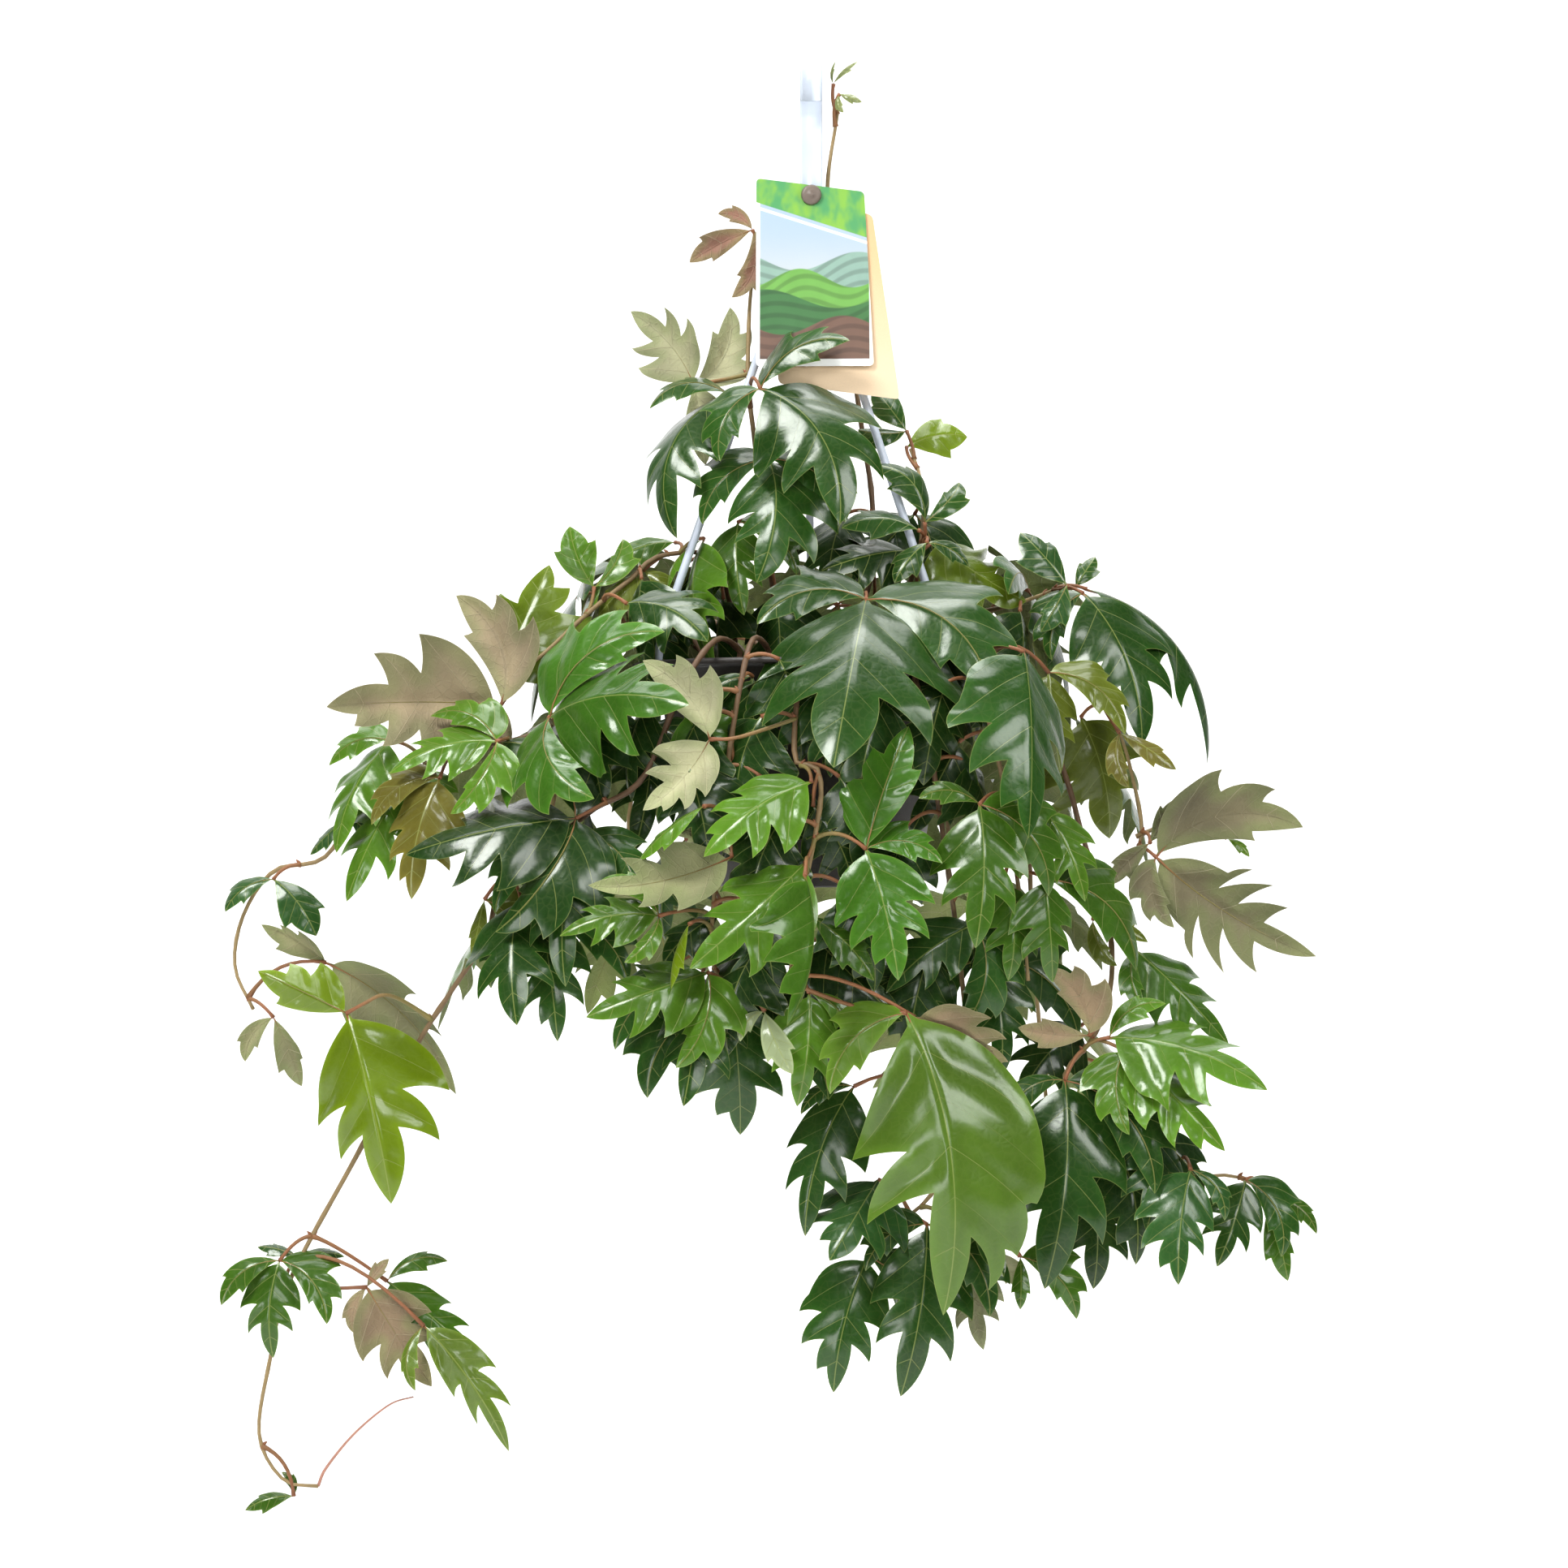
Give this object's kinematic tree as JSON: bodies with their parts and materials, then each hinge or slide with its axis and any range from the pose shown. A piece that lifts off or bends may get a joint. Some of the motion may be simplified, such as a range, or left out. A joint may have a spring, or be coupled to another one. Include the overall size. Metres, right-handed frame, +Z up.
{
  "type": "hanging potted grape ivy",
  "caption": "Hanging plastic pot on three rods and a strap hook, with two care tags, planted with trailing stems of lobed three-part leaves.",
  "frame": {"origin": "the point under the top of the hook's loop where a rail or hanger bears", "axes": "+Z up, -Y towards the front of the plant, +X to the right as seen from the front"},
  "size_m": [0.518, 0.4055, 0.6983],
  "materials": {
    "pot_plastic": "dark brown-black moulded plastic, satin",
    "soil": "dark damp potting mix, rough",
    "hanger_plastic": "milky white moulded plastic, slightly glossy",
    "tag_card_front": "glossy printed plastic card, pale green and white",
    "tag_card_back": "satin card, warm orange to cream",
    "button_plastic": "grey-brown moulded plastic peg",
    "foliage": "glossy deep green leaves with pale veins, red-brown stems"
  },
  "bodies": {
    "root": {"pot": "pot_plastic", "soil": "soil", "hanger_hook": "hanger_plastic", "rod_right": "hanger_plastic", "rod_left": "hanger_plastic", "rod_back": "hanger_plastic", "tag_back": "tag_card_back", "tag_front": "tag_card_front", "tag_button": "button_plastic", "stem_crown": "foliage", "stem_left_top": "foliage", "stem_left_woody": "foliage", "stem_left_low": "foliage", "stem_left_vine": "foliage", "stem_front": "foliage", "stem_right_top": "foliage", "stem_right_arch": "foliage", "stem_right_mid": "foliage", "stem_right_front": "foliage", "stem_left_front": "foliage", "stem_bottom": "foliage", "stem_back_1": "foliage", "stem_back_2": "foliage", "stem_back_3": "foliage", "stem_back_4": "foliage", "stem_back_5": "foliage", "stem_back_6": "foliage", "stem_back_7": "foliage", "stem_back_8": "foliage", "stem_back_9": "foliage"}
  },
  "joints": []
}
